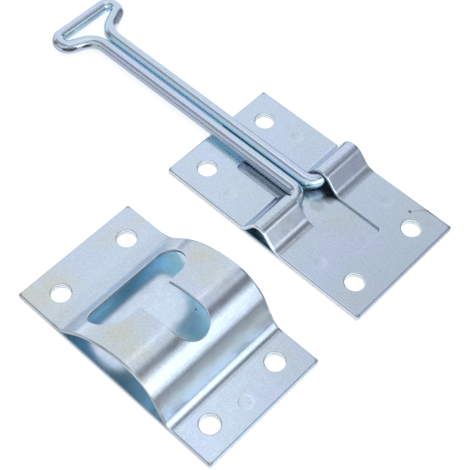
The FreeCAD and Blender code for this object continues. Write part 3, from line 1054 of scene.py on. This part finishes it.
class HOLDER_OT_back_sheets(bpy.types.Operator):
    """Builds the flat sheets that close the backs of both halves"""
    bl_idname = "holder.back_sheets"
    bl_label = "Back Sheets"

    def execute(self, context):
        (sizes,) = sizes_of(context.scene, "sheet")
        finish = context.scene.holder_finish
        # A grain of dirt that shows through the keeper's slot, and painted shade under the knuckle
        # by the wire's roots
        top = sizes.thickness
        marks = [(2.9, -59.6, top, 0.45, 0.9), (-2, 2, top, 3.5, 0.3), (2, 3.5, top, 3, 0.35),
                 (5.5, 5.5, top, 2.5, 0.4), (4, 0.5, top, 3.5, 0.2)]
        material = clear_zinc("clear_zinc_flat_sheet", finish, False, marks, finish.reflection_paint)
        # Painted reflection: paler patches where the back sheets reflect the wire's legs and the
        # dome's underside
        for name, body, node, middle, reflection_patches in (
                ("hook_back_sheet", "hook_base", "hook_back_plate", HOOK_MIDDLE,
                 [(-20, 0, 9, 0.6), (-8, 0, 9, 0.6)]),
                ("keeper_back_sheet", "keeper", "keeper_back_plate", KEEPER_MIDDLE,
                 [(13, 0, 8, 1.0)])):
            mesh = sheet_mesh(name, sizes, [(sizes.length,)], 0.0, screw_holes(sizes), middle,
                              film=[(15, 1, 6, 0.35)], reflection_patches=reflection_patches)
            show(name, mesh, body, node, material)
        return {"FINISHED"}


class HOLDER_OT_hook_front_sheet(bpy.types.Operator):
    """Builds the hook half's pressed sheet, with its window and two knuckles"""
    bl_idname = "holder.hook_front_sheet"
    bl_label = "Hook Front Sheet"

    def execute(self, context):
        sizes, hook = sizes_of(context.scene, "sheet", "hook")
        dents = [(x, y, sizes.weld / 2, sizes.weld / 8, sizes.weld_depth)
                 for x, y in four_ways(sizes.weld_x, sizes.weld_y)]
        # Painted reflection: the patches at Y -3.2 tint the flat beside the legs with the wire's
        # reflection
        mesh = sheet_mesh("hook_front_sheet", sizes, knuckle_moves(sizes, hook), sizes.thickness,
                          screw_holes(sizes) + [knuckle_window(hook)], HOOK_MIDDLE, dents,
                          [(33, 21, 6, 0.5), (4, -17, 7, 0.3), (38, -20, 5, 0.3)],
                          reflection_patches=[(x, -3.2, 3, 0.8) for x in (-43, -39, -35, -31)])
        # The plating rack's prong touched here, and left a burnt streak to the edge
        top = 2 * sizes.thickness
        streak = [(29.9, 20.4, top, 0.8, 0.75)]
        streak += [(30.7 + 0.55 * k, 21.4 + 0.7 * k, top, 0.6 + 0.1 * k, 0.14) for k in range(6)]
        streak += [(34.2 + 0.9 * k, 25.3, top, 0.9 - 0.08 * k, 0.8 - 0.1 * k) for k in range(6)]
        material = clear_zinc("clear_zinc_pressed_sheet", context.scene.holder_finish, False,
                              streak + corner_tips(sizes, HOOK_MIDDLE))
        show("hook_front_sheet", mesh, "hook_base", "hook_front_plate",
             material)
        return {"FINISHED"}


class HOLDER_OT_tee_hook(bpy.types.Operator):
    """Bends the wire hook: two feet, two legs side by side and a closed tee head"""
    bl_idname = "holder.tee_hook"
    bl_label = "Tee Hook"

    def execute(self, context):
        sizes, hook = sizes_of(context.scene, "sheet", "hook")
        place = np.array([hook.knuckle_shift + hook.shift_x, hook.shift_y,
                          2 * sizes.thickness + hook.seat + hook.wire / 2])
        mesh = wire_mesh("bent_wire_hook", hook, place)
        # Painted reflections of dark surroundings at the tee's near corner, and one at its far
        # corner
        dark_reflections = [(166.5 + k, -2.36, 1.1, (0.8, 1.1, 1.1, 0.8)[k], 0.9) for k in range(4)]
        dark_reflections += [(172.6 + 1.1 * k, -2.44, 0.9, (0.7, 1.0, 1.0, 0.8)[k], 0.9) for k in range(4)]
        dark_reflections += [(176.9, -2.25, 1.3, 0.7, 0.7), (163.0, -2.3, 1.2, 1.2, 0.4),
                   (128.8, -2.44, 0.9, 1.7, 0.55), (126.6, -2.56, 0.45, 1.7, 0.55),
                   (124.2, -2.51, 0.67, 1.5, 0.55)]
        material = clear_zinc("clear_zinc_drawn_wire", context.scene.holder_finish, True, dark_reflections)
        show("bent_wire_hook", mesh, "swing_hook", "tee_hook", material)
        return {"FINISHED"}


class HOLDER_OT_keeper_front_sheet(bpy.types.Operator):
    """Builds the keeper's domed sheet, with its T-shaped slot"""
    bl_idname = "holder.keeper_front_sheet"
    bl_label = "Keeper Front Sheet"

    def execute(self, context):
        sizes, hook, keeper = sizes_of(context.scene, "sheet", "hook", "keeper")
        dents = [(keeper.weld_x, keeper.weld_y, sizes.weld / 2, sizes.weld / 2.5,
                  sizes.weld_depth)]
        film = [(-41, -22, 9, 1.0), (-38, -12, 6, 0.5), (-27, -22, 5, 0.5), (-39, 12, 5, 0.6),
                (-38, 23, 4, 0.5), (-2, -18, 9, 0.9), (9, -20, 5, 0.7), (-5, 22, 6, 0.9),
                (5, 17, 7, 0.6), (17, -24, 4, 0.8), (12, -3, 5, 0.4), (34, 17, 6, 0.4)]
        # A line of painted highlight runs along the flank at X 22.8
        mesh = sheet_mesh("keeper_front_sheet", sizes, dome_moves(sizes, keeper), sizes.thickness,
                          screw_holes(sizes) + [tee_slot(sizes, hook, keeper)], KEEPER_MIDDLE,
                          dents, film, highlight_line=(22.8, 0.5))
        material = clear_zinc("clear_zinc_domed_sheet", context.scene.holder_finish, False,
                              corner_tips(sizes, KEEPER_MIDDLE))
        show("keeper_front_sheet", mesh, "keeper", "keeper_front_plate",
             material)
        return {"FINISHED"}


class HOLDER_OT_studio(bpy.types.Operator):
    """Lays the white floor, the studio cards, the softbox, the world and the camera"""
    bl_idname = "holder.studio"
    bl_label = "Studio"

    def execute(self, context):
        scene = context.scene
        (studio,) = sizes_of(scene, "studio")
        lay_floor()
        hang_tent(scene)
        card("softbox_face", (0.46, -0.105, 0.24), Y, (0.69, 0.38), studio.softbox, 0.3)
        for row in PANELS:
            card(*row)
        for name, x0, x1, y0, y1, above, along in PAPERS:
            card(name, ((x0 + x1) / 2, (y0 + y1) / 2, PAPER_HEIGHT), X, (x1 - x0, y1 - y0), above,
                 PAPER_FADE, facing=(0, 0, -1), grazing=along)
        for row in FLAGS:
            card(*row)
        hang_lamp()
        aim_camera(scene, studio)
        scene.view_settings.view_transform = "Standard"
        return {"FINISHED"}


STEPS = (HOLDER_OT_back_sheets, HOLDER_OT_hook_front_sheet, HOLDER_OT_tee_hook,
         HOLDER_OT_keeper_front_sheet, HOLDER_OT_studio)


class HOLDER_PT_panel(bpy.types.Panel):
    """Lists the steps that build the door holder"""
    bl_idname = "HOLDER_PT_panel"
    bl_label = "Door Holder"
    bl_space_type = "VIEW_3D"
    bl_region_type = "UI"
    bl_category = "Door Holder"

    def draw(self, context):
        for step in STEPS:
            self.layout.operator(step.bl_idname)


def register():
    """Registers the property groups, the operators and the panel."""
    for name, group in GROUPS.items():
        bpy.utils.register_class(group)
        setattr(bpy.types.Scene, name, PointerProperty(type=group))
    for cls in STEPS + (HOLDER_PT_panel,):
        bpy.utils.register_class(cls)


def unregister():
    """Removes what register added."""
    for cls in reversed(STEPS + (HOLDER_PT_panel,)):
        bpy.utils.unregister_class(cls)
    for name, group in reversed(list(GROUPS.items())):
        delattr(bpy.types.Scene, name)
        bpy.utils.unregister_class(group)


def main():
    """Builds every piece and the studio."""
    register()
    bpy.ops.holder.back_sheets()
    bpy.ops.holder.hook_front_sheet()
    bpy.ops.holder.tee_hook()
    bpy.ops.holder.keeper_front_sheet()
    bpy.ops.holder.studio()


if __name__ == "__main__":
    main()
